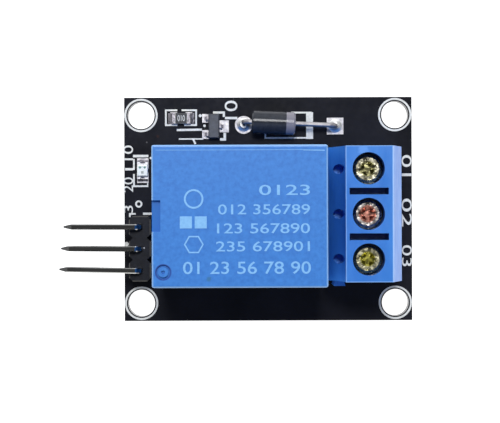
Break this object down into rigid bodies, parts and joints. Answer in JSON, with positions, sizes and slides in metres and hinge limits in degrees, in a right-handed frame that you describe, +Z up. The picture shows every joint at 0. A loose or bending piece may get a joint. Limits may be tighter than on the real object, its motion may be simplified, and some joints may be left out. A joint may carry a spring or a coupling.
{
  "type": "relay module board",
  "caption": "small circuit board with a sealed blue relay, a screw terminal, a bent pin header, an axial diode and chip parts",
  "frame": {"origin": "on the board's underside, midway between the four mounting holes", "axes": "+X along the board from the header to the screw terminal, +Z up out of the component side"},
  "size_m": [0.0413, 0.0264, 0.0189],
  "materials": {
    "board": "near-black solder mask on glass epoxy",
    "header_plastic": "black moulded insulator",
    "tinned_pin": "tinned and slightly dull",
    "solder": "bright solder",
    "lamp_base": "white substrate",
    "lamp_lens": "clear moulded lens",
    "chip_ceramic": "white ceramic",
    "chip_glaze": "black glaze",
    "transistor_plastic": "grey-black moulding compound",
    "diode_plastic": "black moulding with a light band",
    "relay_plastic": "mottled blue moulding",
    "terminal_plastic": "blue moulding",
    "bobbin_plastic": "off-white moulding",
    "copper": "enamelled copper wire",
    "soft_iron": "nickel-plated soft iron",
    "spring_bronze": "phosphor bronze",
    "contact_silver": "silver alloy",
    "screw_zinc": "zinc plated with a yellowish passivation",
    "cage_brass": "nickel-plated brass"
  },
  "bodies": {
    "board": {"circuit_board": "board", "header_housing": "header_plastic", "header_pin_1": "tinned_pin", "header_pin_2": "tinned_pin", "header_pin_3": "tinned_pin", "led_base": "lamp_base", "led_lens": "lamp_lens", "led_terminal_1": "tinned_pin", "led_terminal_2": "tinned_pin", "resistor_body": "chip_ceramic", "resistor_glaze": "chip_glaze", "resistor_cap_1": "tinned_pin", "resistor_cap_2": "tinned_pin", "transistor_body": "transistor_plastic", "transistor_lead_1": "tinned_pin", "transistor_lead_2": "tinned_pin", "transistor_lead_3": "tinned_pin", "diode_body": "diode_plastic", "diode_lead_left": "tinned_pin", "diode_lead_right": "tinned_pin", "relay_cover": "relay_plastic", "relay_base": "bobbin_plastic", "relay_bobbin": "bobbin_plastic", "relay_winding": "copper", "relay_core": "soft_iron", "relay_yoke": "soft_iron", "relay_strip_closed": "tinned_pin", "relay_rivet_closed": "contact_silver", "relay_strip_open": "tinned_pin", "relay_rivet_open": "contact_silver", "relay_strip_common": "tinned_pin", "relay_coil_pin_1": "tinned_pin", "relay_coil_pin_2": "tinned_pin", "terminal_housing": "terminal_plastic", "solder_header": "solder", "solder_relay": "solder", "solder_terminals": "solder", "solder_diode": "solder", "solder_chips": "solder", "terminal_bar_1": "tinned_pin", "terminal_bar_2": "tinned_pin", "terminal_bar_3": "tinned_pin"},
    "armature": {"relay_armature": "soft_iron", "relay_contact_blade": "spring_bronze", "relay_moving_contact": "contact_silver"},
    "screw_1": {"clamp_screw_1": "screw_zinc"},
    "cage_1": {"clamp_cage_1": "cage_brass"},
    "screw_2": {"clamp_screw_2": "screw_zinc"},
    "cage_2": {"clamp_cage_2": "cage_brass"},
    "screw_3": {"clamp_screw_3": "screw_zinc"},
    "cage_3": {"clamp_cage_3": "cage_brass"}
  },
  "joints": [
    {"name": "armature_tilt", "type": "hinge", "parent": "board", "child": "armature", "pos_m": [-0.01009, -0.00081, 0.0128], "axis": [0, 1, 0], "range_deg": [0, 2.13], "stiffness_Nm_per_rad": 0.01, "springref_deg": -5.73},
    {"name": "screw_1_turn", "type": "hinge", "parent": "board", "child": "screw_1", "pos_m": [0.01108, 0.00447, 0.009], "axis": [0, 0, -1], "range_deg": [0, 1440]},
    {"name": "cage_1_lift", "type": "slide", "parent": "board", "child": "cage_1", "axis": [0, 0, 1], "range_m": [0, 0.002]},
    {"name": "screw_2_turn", "type": "hinge", "parent": "board", "child": "screw_2", "pos_m": [0.01108, -0.00061, 0.009], "axis": [0, 0, -1], "range_deg": [0, 1440]},
    {"name": "cage_2_lift", "type": "slide", "parent": "board", "child": "cage_2", "axis": [0, 0, 1], "range_m": [0, 0.002]},
    {"name": "screw_3_turn", "type": "hinge", "parent": "board", "child": "screw_3", "pos_m": [0.01108, -0.00569, 0.009], "axis": [0, 0, -1], "range_deg": [0, 1440]},
    {"name": "cage_3_lift", "type": "slide", "parent": "board", "child": "cage_3", "axis": [0, 0, 1], "range_m": [0, 0.002]}
  ],
  "couplings": [
    {"joint": "screw_1_turn", "follows": "cage_1_lift", "rad_per_m": 12566},
    {"joint": "screw_2_turn", "follows": "cage_2_lift", "rad_per_m": 12566},
    {"joint": "screw_3_turn", "follows": "cage_3_lift", "rad_per_m": 12566}
  ]
}
